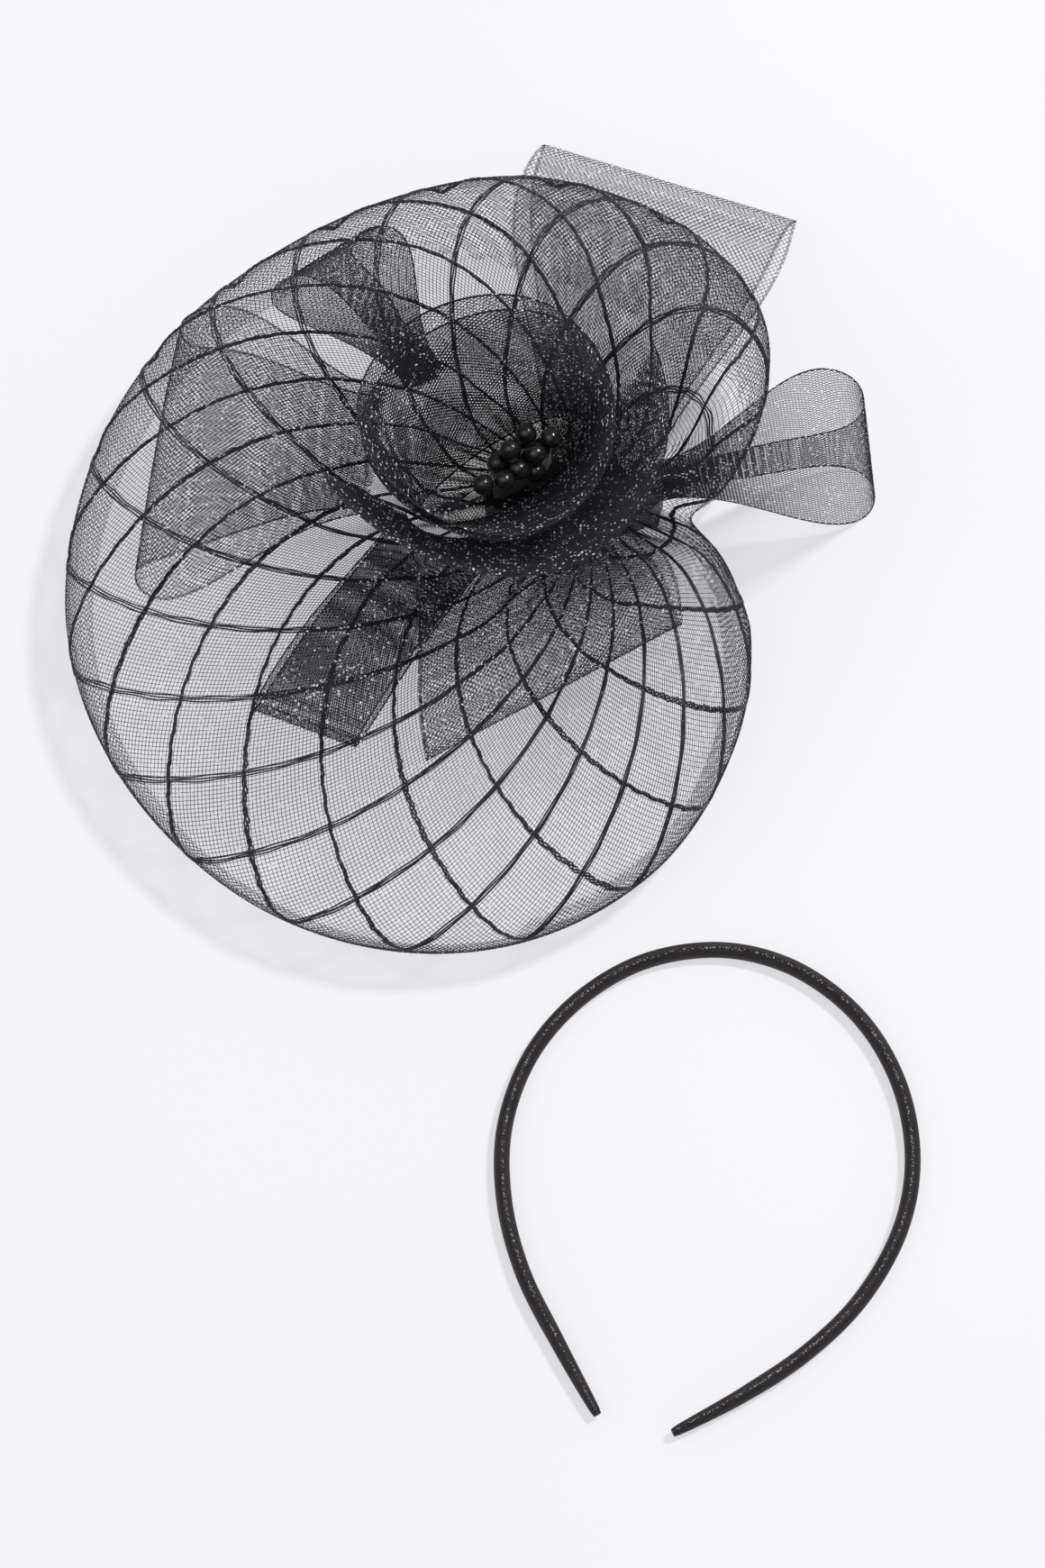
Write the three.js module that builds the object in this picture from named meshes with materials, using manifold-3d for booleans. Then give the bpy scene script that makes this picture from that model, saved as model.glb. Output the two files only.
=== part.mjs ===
// Sheer black fascinator with its own headband, in millimetres, +Z up.
// A puffed disc of windowpane crin stands on its rim, where the cloth turns under. It is gathered at a
// short slit, where the stem of a small base holds it. Crin ribbon stands in a swirl round ten beads
// and lies in loops.
// The origin is the middle of the base's flat underside.
import * as THREE from "three";
import { mergeVertices } from "three/addons/utils/BufferGeometryUtils.js";
import Module from "manifold-3d";

// Driving dimensions
const CLOTH = 1.0; // wall of every crin piece
const GAP = 0.3; // clearance between pieces that touch
const FACET_SAG = 0.6; // further clearance where curved faceted pieces lie on each other
const DISC_REACH = 157; // from the gather to the farthest point of the rim
const DISC_PUFF = 40; // rise of the puffed cloth over its rim
const DISC_LIFT = 18; // rise of the disc's upper right lobe over the back loop
const SLIT_LENGTH = 44; // gathered slit that the stem passes through
const SLIT_WIDTH = 12;
const GATHER_DROP = 9; // drop from the gather to the turned hem beside the slit
const GATHER_LENGTH = 0.255 * DISC_REACH; // length over which the puff grows from the slit
const RIBBON_WIDTH = 80; // crin ribbon of the swirl and the loops
const BEAD_DIAMETER = 6;
const BEAD_HEIGHT = 31; // middle of the bead cluster over the floor
const CLIP_LENGTH = 50;
const CLIP_WIDTH = 9;
const CLIP_THICKNESS = 2.2;
const PAD_THICKNESS = 11.6;
const PAD_MARGIN = 4; // how far the pad reaches out past the slit
const BAND_REACH = 60; // headband, from its middle to the widest point of its centre line
const BAND_THICKNESS = 4.4;
const BAND_HEIGHT = 5.6;
const BAND_MIDDLE = [0.23 * DISC_REACH, -0.84 * DISC_REACH - BAND_REACH]; // clear of the disc

// Steps of the faceted surfaces
const DISC_STEPS = 54;
const PROFILE_STEPS = 15;
const SWIRL_STEPS = 30;
const LOOP_STEPS = 24;
const ACROSS_STEPS = 3;
const BAND_STEPS = 44;
const BAND_SIDES = 10;

// Rim of the disc seen from above: turn in degrees round the gather, reach as a share of DISC_REACH,
// puff as a share of DISC_PUFF, lift as a share of DISC_LIFT, and the row of PROFILE where the hem ends
const OUTLINE = [
  { turn: 0, reach: 0.27, puff: 0.6, lift: 0.4, hem: 9.6 },
  { turn: 20, reach: 0.37, puff: 0.8, lift: 0.8, hem: 9.6 },
  { turn: 40, reach: 0.46, puff: 0.85, lift: 1.0, hem: 10.4 },
  { turn: 60, reach: 0.51, puff: 0.9, lift: 1.0, hem: 11 },
  { turn: 80, reach: 0.55, puff: 0.9, lift: 1.0, hem: 11 },
  { turn: 100, reach: 0.6, puff: 0.95, lift: 0.9, hem: 10.6 },
  { turn: 120, reach: 0.66, puff: 1.0, lift: 0.5, hem: 9.4 },
  { turn: 140, reach: 0.74, puff: 1.0, lift: 0.1, hem: 8.7 },
  { turn: 160, reach: 0.83, puff: 1.0, lift: 0.0, hem: 8.6 },
  { turn: 180, reach: 0.91, puff: 1.0, lift: 0.0, hem: 8.6 },
  { turn: 200, reach: 0.98, puff: 1.0, lift: 0.0, hem: 8.6 },
  { turn: 220, reach: 1.0, puff: 1.0, lift: 0.0, hem: 8.6 },
  { turn: 240, reach: 0.98, puff: 1.0, lift: 0.0, hem: 8.7 },
  { turn: 260, reach: 0.9, puff: 1.0, lift: 0.0, hem: 8.8 },
  { turn: 280, reach: 0.76, puff: 1.0, lift: 0.0, hem: 9.0 },
  { turn: 300, reach: 0.58, puff: 0.95, lift: 0.0, hem: 9.6 },
  { turn: 320, reach: 0.42, puff: 0.8, lift: 0.0, hem: 10.2 },
  { turn: 335, reach: 0.3, puff: 0.6, lift: 0.0, hem: 10.2 },
  { turn: 348, reach: 0.22, puff: 0.45, lift: 0.1, hem: 9.8 },
];

// Section of the disc from the slit, over the crest and the rim, to the hem turned under: out as a
// share of the way to the rim, up as a share of the puff
const PROFILE = [
  { out: 0.0, up: 0.4 },
  { out: 0.1, up: 0.44 },
  { out: 0.28, up: 0.68 },
  { out: 0.5, up: 0.95 },
  { out: 0.7, up: 0.98 },
  { out: 0.88, up: 0.78 },
  { out: 0.98, up: 0.5 },
  { out: 0.98, up: 0.2 },
  { out: 0.95, up: 0.02 },
  { out: 0.9, up: 0.0 },
  { out: 0.8, up: 0.01 },
  { out: 0.66, up: 0.02 },
];
const BEAD_ROOM = 1.467; // half the width that the beads need inside the swirls, in beads
const FRONT_ROWS = 6; // rows of PROFILE, after the first, up to the rim
const RIM_MARGIN = 3; // how far inward of an edge the disc is looked for
const FALL_LENGTH = 0.418; // share of DISC_REACH over which a loop comes down to the floor
const LIFT_ZONE = 0.6; // share of the way to the rim over which the lift grows

// Ribbon swirls that stand on edge. The foot is an oval on the disc and the head a wider one; all
// lengths are shares of RIBBON_WIDTH, turns are degrees, and footWide is over the beads' own room
const SWIRLS = [
  {
    name: "swirl_inner", footX: -0.26, footY: 0.045, footLong: 0.34, footWide: 0, footTurn: 35,
    headX: -0.3, headY: -0.175, headLong: 0.42, headWide: 0.4, flare: 0.0, from: 30, to: -322,
  },
  {
    name: "swirl_outer", footX: -0.26, footY: 0.045, footLong: 0.4, footWide: 0.075, footTurn: 35,
    headX: -0.275, headY: -0.15, headLong: 0.58, headWide: 0.55, flare: 0.12, from: 24, to: -156,
  },
];

// Ribbon loops that lie flat. The root's place is a share of RIBBON_WIDTH on the disc, and of
// SLIT_LENGTH where the loop passes by the base. Length, opening (height between the layers), level
// (height over the cloth layers it crosses) and fan (sideways shift of the lower layer) are shares of
// RIBBON_WIDTH; pinch and tip are the cloth's width at the root and at the fold, as shares of it too
const LYING_LOOPS = [
  {
    name: "loop_left", x: -0.7, y: 0.04, heading: 183, length: 0.77, across: 83, pinch: 0.45, tip: 1,
    opening: 0.18, level: 0, over: 0, fan: -0.16, on: "disc",
  },
  {
    name: "loop_lower_left", x: -0.5, y: -0.31, heading: 240, length: 0.87, across: -22, pinch: 0.35,
    tip: 0.38, opening: 0.07, level: 0, over: 0, fan: 0, on: "disc",
  },
  {
    name: "front_roll", x: -0.19, y: -0.33, heading: 280, length: 0.66, across: 30, pinch: 0.85, tip: 1,
    opening: 0.2, level: 0.0505, over: 2, fan: 0, on: "disc",
  },
  {
    name: "loop_back", x: 0.136, y: 0.269, heading: 76, length: 1.21, across: -19, pinch: 0.4, tip: 1,
    opening: 0.1, level: 0, over: 0, fan: -0.14, on: "floor",
  },
];

// Ribbon loops that stand on edge; rootFoot is the height of the foot edge over the gather at the
// root, as a share of DISC_PUFF, and lean is how far the top leans out of the upright, towards leanTo
const STANDING_LOOPS = [
  {
    name: "loop_upper_left", x: -0.56, y: 0.3, heading: 143.5, length: 0.64, opening: 0.16, pinch: 0.3,
    rootFoot: 0, lean: 26, leanTo: -41, on: "disc",
  },
  {
    name: "loop_right", x: 0.545, y: -0.155, heading: 12, length: 0.82, opening: 0.22, pinch: 0.3,
    rootFoot: 0.285, lean: 9, leanTo: 215, on: "floor",
  },
];

// Bead places in the cluster, in steps of one bead and its clearance
const BEADS = [
  { x: 0.18, y: 1.03, z: 0.24 },
  { x: 1.3, y: 0.92, z: 0.0 },
  { x: 0.62, y: 0.13, z: 0.0 },
  { x: -0.53, y: 0.13, z: 0.47 },
  { x: -0.04, y: 0.54, z: -0.7 },
  { x: -1.13, y: -0.2, z: -0.3 },
  { x: -0.15, y: -0.5, z: -0.3 },
  { x: 0.6, y: -0.32, z: -0.95 },
  { x: -0.8, y: -1.2, z: 0.0 },
  { x: -1.76, y: -1.5, z: 0.2 },
];
const CLUSTER = [-15, 3.5]; // middle of the bead cluster seen from above

// Centre line of the headband: turn in degrees round its middle, reach as a share of BAND_REACH
const BAND_LINE = [
  { turn: -98, reach: 1.31 },
  { turn: -83, reach: 1.134 },
  { turn: -65, reach: 1.025 },
  { turn: -45, reach: 0.966 },
  { turn: -23, reach: 0.94 },
  { turn: -2, reach: 0.931 },
  { turn: 20, reach: 0.932 },
  { turn: 42, reach: 0.944 },
  { turn: 64, reach: 0.955 },
  { turn: 85, reach: 0.954 },
  { turn: 107, reach: 0.939 },
  { turn: 129, reach: 0.923 },
  { turn: 151, reach: 0.924 },
  { turn: 173, reach: 0.937 },
  { turn: 194, reach: 0.963 },
  { turn: 214, reach: 1.024 },
  { turn: 233, reach: 1.136 },
  { turn: 247, reach: 1.321 },
];
const TIP_TAPER = 0.5; // size of the headband's section at its tips, as a share
const TAPER_LENGTH = 0.08; // share of the band over which a tip tapers

const crin = new THREE.MeshStandardMaterial({ color: 0x26262a, roughness: 0.45, metalness: 0.0 });
const beadGloss = new THREE.MeshStandardMaterial({ color: 0x0a0a0c, roughness: 0.12, metalness: 0.1 });
const felt = new THREE.MeshStandardMaterial({ color: 0x141416, roughness: 0.9, metalness: 0.0 });
const satin = new THREE.MeshStandardMaterial({ color: 0x1c1918, roughness: 0.5, metalness: 0.0 });

const rad = THREE.MathUtils.degToRad;
const clamp01 = (value) => THREE.MathUtils.clamp(value, 0, 1);

// Smooth value at a place between four neighbouring values
function cubic(before, start, end, after, at) {
  const slopeStart = (end - before) / 2;
  const slopeEnd = (after - start) / 2;
  const a = 2 * start - 2 * end + slopeStart + slopeEnd;
  const b = -3 * start + 3 * end - 2 * slopeStart - slopeEnd;
  return ((a * at + b) * at + slopeStart) * at + start;
}

// One column of a table at a place counted in rows
function column(rows, key, place) {
  const row = Math.min(Math.floor(place), rows.length - 2);
  const value = (index) => rows[THREE.MathUtils.clamp(index, 0, rows.length - 1)][key];
  return cubic(value(row - 1), value(row), value(row + 1), value(row + 2), place - row);
}

// One column of the rim's table at a turn, which goes on round past 360 degrees
function rimColumn(key, turn) {
  const at = ((turn % 360) + 360) % 360;
  const count = OUTLINE.length;
  const row = OUTLINE.findLastIndex((entry) => entry.turn <= at);
  const start = OUTLINE[row].turn;
  const end = row + 1 < count ? OUTLINE[row + 1].turn : 360;
  const value = (index) => OUTLINE[(index + count) % count][key];
  return cubic(value(row - 1), value(row), value(row + 1), value(row + 2), (at - start) / (end - start));
}

// Distance from the middle of an oval to its edge at a turn in radians
function ovalReach(long, wide, turn) {
  return (long * wide) / Math.hypot(wide * Math.cos(turn), long * Math.sin(turn));
}

const baseTop = CLIP_THICKNESS + PAD_THICKNESS;
const gatherHeight = baseTop + GAP + CLOTH / 2;

// A point of the disc's cloth: turn in degrees, place counted in rows of PROFILE
function discPoint(turn, place) {
  const angle = rad(turn);
  const inner = ovalReach(SLIT_LENGTH / 2, SLIT_WIDTH / 2, angle);
  const out = column(PROFILE, "out", place);
  const up = Math.max(column(PROFILE, "up", place), 0);
  const run = DISC_REACH * rimColumn("reach", turn) - inner;
  const grown = THREE.MathUtils.smoothstep(out * run, 0, GATHER_LENGTH);
  const lift = DISC_LIFT * rimColumn("lift", turn) * THREE.MathUtils.smoothstep(out, 0, LIFT_ZONE);
  const under = clamp01((place - FRONT_ROWS) / (PROFILE.length - 1 - FRONT_ROWS));
  const gathered = gatherHeight - GATHER_DROP * under;
  const puffed = (CLOTH + GAP) / 2 + up * DISC_PUFF * rimColumn("puff", turn) + lift;
  const reach = inner + out * run;
  const height = THREE.MathUtils.lerp(gathered, puffed, grown);
  return new THREE.Vector3(reach * Math.cos(angle), reach * Math.sin(angle), height);
}

// Height of the disc's front layer, or of the floor beyond its rim, under a point
function groundHeight(x, y) {
  const angle = Math.atan2(y, x);
  const turn = THREE.MathUtils.radToDeg(angle);
  const inner = ovalReach(SLIT_LENGTH / 2, SLIT_WIDTH / 2, angle);
  const out = (Math.hypot(x, y) - inner) / (DISC_REACH * rimColumn("reach", turn) - inner);
  if (out >= column(PROFILE, "out", FRONT_ROWS)) return 0;
  let low = 0;
  let high = FRONT_ROWS;
  for (let halving = 0; halving < 24; halving += 1) {
    const middle = (low + high) / 2;
    if (column(PROFILE, "out", middle) < out) low = middle;
    else high = middle;
  }
  return discPoint(turn, low).z + CLOTH / 2;
}

// A closed wall of even thickness on a grid of points; wrap joins the last row to the first
function wallGeometry(grid, wrap) {
  const rows = grid.length;
  const columns = grid[0].length;
  const pick = (row, place) => {
    const r = wrap ? (row + rows) % rows : THREE.MathUtils.clamp(row, 0, rows - 1);
    return grid[r][THREE.MathUtils.clamp(place, 0, columns - 1)];
  };
  const positions = [];
  for (const side of [0.5, -0.5]) {
    for (let row = 0; row < rows; row += 1) {
      for (let place = 0; place < columns; place += 1) {
        const along = pick(row + 1, place).clone().sub(pick(row - 1, place));
        const across = pick(row, place + 1).clone().sub(pick(row, place - 1));
        const normal = along.cross(across).normalize();
        const point = pick(row, place).clone().addScaledVector(normal, side * CLOTH);
        positions.push(point.x, point.y, point.z);
      }
    }
  }
  const index = [];
  const quad = (a, b, c, d) => index.push(a, b, c, a, c, d);
  const at = (side, row, place) => side * rows * columns + (row % rows) * columns + place;
  const spans = wrap ? rows : rows - 1;
  for (let row = 0; row < spans; row += 1) {
    for (let place = 0; place < columns - 1; place += 1) {
      quad(at(0, row, place), at(0, row + 1, place), at(0, row + 1, place + 1), at(0, row, place + 1));
      quad(at(1, row, place), at(1, row, place + 1), at(1, row + 1, place + 1), at(1, row + 1, place));
    }
    quad(at(0, row, 0), at(1, row, 0), at(1, row + 1, 0), at(0, row + 1, 0));
    const last = columns - 1;
    quad(at(0, row, last), at(0, row + 1, last), at(1, row + 1, last), at(1, row, last));
  }
  if (!wrap) {
    for (let place = 0; place < columns - 1; place += 1) {
      quad(at(0, 0, place), at(0, 0, place + 1), at(1, 0, place + 1), at(1, 0, place));
      const end = rows - 1;
      quad(at(0, end, place), at(1, end, place), at(1, end, place + 1), at(0, end, place + 1));
    }
  }
  const geometry = new THREE.BufferGeometry();
  geometry.setAttribute("position", new THREE.Float32BufferAttribute(positions, 3));
  geometry.setIndex(index);
  return geometry;
}

// A grid of points from a surface function of two shares, each from 0 to 1
function surfaceGrid(surface, alongSteps, acrossSteps) {
  const grid = [];
  for (let i = 0; i <= alongSteps; i += 1) {
    const row = [];
    for (let j = 0; j <= acrossSteps; j += 1) row.push(surface(i / alongSteps, j / acrossSteps));
    grid.push(row);
  }
  return grid;
}

// A closed solid through rings of equal count, with flat ends
function loftGeometry(rings) {
  const count = rings[0].length;
  const positions = rings.flat().flatMap((point) => point.toArray());
  const index = [];
  for (let ring = 0; ring < rings.length - 1; ring += 1) {
    for (let i = 0; i < count; i += 1) {
      const next = (i + 1) % count;
      const low = ring * count;
      const high = low + count;
      index.push(low + i, low + next, high + next, low + i, high + next, high + i);
    }
  }
  const top = (rings.length - 1) * count;
  for (let i = 1; i < count - 1; i += 1) {
    index.push(0, i + 1, i);
    index.push(top, top + i, top + i + 1);
  }
  const geometry = new THREE.BufferGeometry();
  geometry.setAttribute("position", new THREE.Float32BufferAttribute(positions, 3));
  geometry.setIndex(index);
  return geometry;
}

// Flat oval ring of points at a height
function ovalRing(x, y, z, long, wide, turn, count) {
  const ring = [];
  for (let i = 0; i < count; i += 1) {
    const angle = (i / count) * 2 * Math.PI;
    const point = new THREE.Vector3(long * Math.cos(angle), wide * Math.sin(angle), 0);
    ring.push(point.applyAxisAngle(new THREE.Vector3(0, 0, 1), rad(turn)).add(new THREE.Vector3(x, y, z)));
  }
  return ring;
}

function discGeometry() {
  const grid = [];
  for (let i = 0; i < DISC_STEPS; i += 1) {
    const turn = (i / DISC_STEPS) * 360;
    const hem = rimColumn("hem", turn);
    const row = [];
    for (let j = 0; j <= PROFILE_STEPS; j += 1) row.push(discPoint(turn, (j / PROFILE_STEPS) * hem));
    grid.push(row);
  }
  return wallGeometry(grid, true);
}

// Ribbon standing in a ring: every section is one ribbon width long from its foot to its head
function swirlPoint(swirl, along, across) {
  const turn = THREE.MathUtils.lerp(swirl.from, swirl.to, along);
  const local = rad(turn - swirl.footTurn);
  const footWide = swirl.footWide * RIBBON_WIDTH + BEAD_ROOM * BEAD_DIAMETER;
  const foot = new THREE.Vector3(
    swirl.footLong * RIBBON_WIDTH * Math.cos(local), footWide * Math.sin(local), 0);
  foot.applyAxisAngle(new THREE.Vector3(0, 0, 1), rad(swirl.footTurn));
  foot.add(new THREE.Vector3(swirl.footX, swirl.footY, 0).multiplyScalar(RIBBON_WIDTH));
  foot.z = groundHeight(foot.x, foot.y) + GAP + FACET_SAG + CLOTH / 2;
  const flare = 1 + swirl.flare * along ** 2;
  const head = new THREE.Vector3(
    (swirl.headX + swirl.headLong * flare * Math.cos(rad(turn))) * RIBBON_WIDTH,
    (swirl.headY + swirl.headWide * flare * Math.sin(rad(turn))) * RIBBON_WIDTH,
    foot.z,
  );
  const sideways = Math.min(foot.distanceTo(head), RIBBON_WIDTH);
  head.z += Math.sqrt(RIBBON_WIDTH ** 2 - sideways ** 2);
  return foot.lerp(head, across);
}

// Place of a loop's cloth round its teardrop, in shares of the ribbon's width: how far out it is,
// how far from the middle between the layers, and how high that middle lies over the lower layer
function teardrop(loop, along) {
  const angle = Math.PI * along;
  const out = Math.sin(angle);
  const rootGap = (CLOTH + GAP) / RIBBON_WIDTH;
  const swell = 1.3 * loop.opening * out ** 2 + rootGap;
  return {
    out,
    off: swell * Math.cos(angle),
    middle: rootGap + (loop.opening / 2) * THREE.MathUtils.smoothstep(out, 0, 0.8),
    spread: THREE.MathUtils.lerp(loop.pinch, loop.tip ?? 1, THREE.MathUtils.smoothstep(out, 0, 0.9)),
    lower: Math.max(Math.cos(angle), 0),
  };
}

// Height of what a loop lies on, with the clearance to it
function support(loop, x, y) {
  return loop.on === "disc" ? groundHeight(x, y) + GAP + FACET_SAG : 0;
}

function rootPlace(loop) {
  const size = loop.on === "disc" ? RIBBON_WIDTH : SLIT_LENGTH;
  return [loop.x * size, loop.y * size];
}

function lyingPoint(loop, along, across) {
  const { out, off, middle, spread, lower } = teardrop(loop, along);
  const [rootX, rootY] = rootPlace(loop);
  const far = out * loop.length;
  const wide = (across - 0.5) * spread + loop.fan * lower * out;
  const x = rootX + (far * Math.cos(rad(loop.heading)) + wide * Math.cos(rad(loop.across))) * RIBBON_WIDTH;
  const y = rootY + (far * Math.sin(rad(loop.heading)) + wide * Math.sin(rad(loop.across))) * RIBBON_WIDTH;
  const raised = loop.over * (CLOTH + GAP) + (loop.level + middle - off) * RIBBON_WIDTH;
  return new THREE.Vector3(x, y, support(loop, x, y) + CLOTH / 2 + raised);
}

// Least height of an edge that passes over the disc, or close by its rim
function rimClearance(x, y) {
  const inward = 1 - RIM_MARGIN / Math.hypot(x, y);
  const height = groundHeight(x * inward, y * inward);
  return height > 0 ? height + 3 * FACET_SAG : 0;
}

function standingPoint(loop, along, across) {
  const { out, off, spread } = teardrop(loop, along);
  const [rootX, rootY] = rootPlace(loop);
  const heading = rad(loop.heading);
  const up = new THREE.Vector3(
    Math.sin(rad(loop.lean)) * Math.cos(rad(loop.leanTo)),
    Math.sin(rad(loop.lean)) * Math.sin(rad(loop.leanTo)),
    Math.cos(rad(loop.lean)),
  );
  const far = out * loop.length;
  const x = rootX + (far * Math.cos(heading) - off * Math.sin(heading)) * RIBBON_WIDTH;
  const y = rootY + (far * Math.sin(heading) + off * Math.cos(heading)) * RIBBON_WIDTH;
  const fall = 1 - THREE.MathUtils.smoothstep(far * RIBBON_WIDTH, 0, FALL_LENGTH * DISC_REACH);
  const foot = loop.on === "disc"
    ? support(loop, x, y)
    : Math.max((gatherHeight + loop.rootFoot * DISC_PUFF) * fall, rimClearance(x, y));
  return new THREE.Vector3(x, y, foot + GAP).addScaledVector(up, across * spread * RIBBON_WIDTH);
}

function beadPlaces() {
  const step = BEAD_DIAMETER + GAP;
  const [x, y] = CLUSTER;
  return BEADS.map((bead) => new THREE.Vector3(
    x + bead.x * step, y + bead.y * step, BEAD_HEIGHT + bead.z * step));
}

const wasm = await Module();
wasm.setup();

function toSolid(geometry) {
  const bare = geometry.clone();
  bare.deleteAttribute("normal");
  bare.deleteAttribute("uv");
  const merged = mergeVertices(bare, 1e-4);
  return new wasm.Manifold(new wasm.Mesh({
    numProp: 3,
    vertProperties: new Float32Array(merged.attributes.position.array),
    triVerts: new Uint32Array(merged.index.array),
  }));
}

function toGeometry(solid) {
  const { vertProperties, triVerts } = solid.getMesh();
  const geometry = new THREE.BufferGeometry();
  geometry.setAttribute("position", new THREE.BufferAttribute(vertProperties, 3));
  geometry.setIndex(new THREE.BufferAttribute(triVerts, 1));
  return geometry;
}

// Clip bar, pad and the stem that passes through the slit up to the beads, as one piece
function baseGeometry() {
  const sides = 24;
  const slitLong = SLIT_LENGTH / 2 - GAP - CLOTH / 2;
  const slitWide = SLIT_WIDTH / 2 - GAP - CLOTH / 2;
  const padLong = SLIT_LENGTH / 2 + PAD_MARGIN;
  const padWide = SLIT_WIDTH / 2 + PAD_MARGIN;
  const clip = new THREE.BoxGeometry(CLIP_LENGTH, CLIP_WIDTH, CLIP_THICKNESS);
  clip.translate(0, 0, CLIP_THICKNESS / 2);
  const pad = loftGeometry([
    ovalRing(0, 0, CLIP_THICKNESS, padLong, padWide, 0, sides),
    ovalRing(0, 0, baseTop, padLong, padWide, 0, sides),
  ]);
  const slitTop = gatherHeight + CLOTH / 2 + GAP;
  const crest = BEAD_HEIGHT - BEAD_DIAMETER / 2;
  const [x, y] = CLUSTER;
  const stem = loftGeometry([
    ovalRing(0, 0, baseTop, slitLong, slitWide, 0, sides),
    ovalRing(0, 0, slitTop, slitLong, slitWide, 0, sides),
    ovalRing(x, y, slitTop + GAP, BEAD_DIAMETER * 1.7, BEAD_DIAMETER * 0.45, 35, sides),
    ovalRing(x, y, crest, BEAD_DIAMETER * 1.7, BEAD_DIAMETER * 0.7, 40, sides),
  ]);
  let solid = toSolid(clip).add(toSolid(pad)).add(toSolid(stem));
  const socket = new THREE.SphereGeometry(BEAD_DIAMETER / 2 + GAP, 12, 8);
  for (const place of beadPlaces()) {
    solid = solid.subtract(toSolid(socket.clone().translate(place.x, place.y, place.z)));
  }
  return toGeometry(solid);
}

// Headband: a rounded section along its centre line, slimmer at the tips, lying on the floor
function headbandGeometry() {
  const points = BAND_LINE.map(({ turn, reach }) => new THREE.Vector3(
    reach * BAND_REACH * Math.cos(rad(turn)), reach * BAND_REACH * Math.sin(rad(turn)), 0));
  const line = new THREE.CatmullRomCurve3(points);
  const rings = [];
  for (let i = 0; i <= BAND_STEPS; i += 1) {
    const at = i / BAND_STEPS;
    const middle = line.getPointAt(at);
    const tangent = line.getTangentAt(at);
    const side = new THREE.Vector3(-tangent.y, tangent.x, 0);
    const fromTip = Math.min(at, 1 - at) / TAPER_LENGTH;
    const size = THREE.MathUtils.lerp(TIP_TAPER, 1, Math.sqrt(clamp01(fromTip)));
    const ring = [];
    for (let j = 0; j < BAND_SIDES; j += 1) {
      const angle = ((j + 0.5) / BAND_SIDES) * 2 * Math.PI;
      ring.push(middle.clone()
        .addScaledVector(side, (Math.cos(angle) * BAND_THICKNESS * size) / 2)
        .add(new THREE.Vector3(0, 0, (Math.sin(angle) * BAND_HEIGHT * size) / 2)));
    }
    rings.push(ring);
  }
  return loftGeometry(rings);
}

function piece(name, geometry, material) {
  const mesh = new THREE.Mesh(geometry, material.clone());
  mesh.name = name;
  return mesh;
}

const fascinator = new THREE.Group();
fascinator.add(piece("disc", discGeometry(), crin));
for (const swirl of SWIRLS) {
  const grid = surfaceGrid((u, v) => swirlPoint(swirl, u, v), SWIRL_STEPS, ACROSS_STEPS);
  fascinator.add(piece(swirl.name, wallGeometry(grid, false), crin));
}
for (const loop of LYING_LOOPS) {
  const grid = surfaceGrid((u, v) => lyingPoint(loop, u, v), LOOP_STEPS, ACROSS_STEPS);
  fascinator.add(piece(loop.name, wallGeometry(grid, false), crin));
}
for (const loop of STANDING_LOOPS) {
  const grid = surfaceGrid((u, v) => standingPoint(loop, u, v), LOOP_STEPS, ACROSS_STEPS);
  fascinator.add(piece(loop.name, wallGeometry(grid, false), crin));
}
beadPlaces().forEach((place, index) => {
  const bead = piece(`bead_${index + 1}`, new THREE.IcosahedronGeometry(BEAD_DIAMETER / 2, 1), beadGloss);
  bead.position.copy(place);
  fascinator.add(bead);
});
fascinator.add(piece("base", baseGeometry(), felt));
const headband = piece("headband", headbandGeometry(), satin);
headband.position.set(BAND_MIDDLE[0], BAND_MIDDLE[1], BAND_HEIGHT / 2);
fascinator.add(headband);

export default fascinator;
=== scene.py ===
"""Sheer black fascinator with its own slim headband, in metres, +Z up.

The crin is built thread by thread: a windowpane net on the puffed disc, and a diamond net on each
ribbon. The shapes follow the same named sizes and tables as the solid model they stand for.
"""

import logging
import math
from dataclasses import dataclass, field
from enum import Enum
from typing import Callable, Iterable, Sequence

import bmesh
import bpy
import numpy as np
from mathutils import Matrix, Vector


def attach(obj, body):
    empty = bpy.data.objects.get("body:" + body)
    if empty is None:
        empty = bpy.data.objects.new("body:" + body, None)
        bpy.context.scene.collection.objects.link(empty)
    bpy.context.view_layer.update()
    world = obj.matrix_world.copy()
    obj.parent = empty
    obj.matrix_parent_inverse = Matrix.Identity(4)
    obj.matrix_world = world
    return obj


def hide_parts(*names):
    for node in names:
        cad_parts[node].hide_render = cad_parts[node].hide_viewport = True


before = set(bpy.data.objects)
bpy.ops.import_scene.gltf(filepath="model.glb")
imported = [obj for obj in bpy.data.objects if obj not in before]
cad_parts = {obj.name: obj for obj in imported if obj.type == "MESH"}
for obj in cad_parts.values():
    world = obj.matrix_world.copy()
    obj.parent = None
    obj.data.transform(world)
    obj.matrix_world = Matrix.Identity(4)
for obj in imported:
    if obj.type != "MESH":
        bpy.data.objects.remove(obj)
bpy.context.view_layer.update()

log = logging.getLogger("fascinator")

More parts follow.
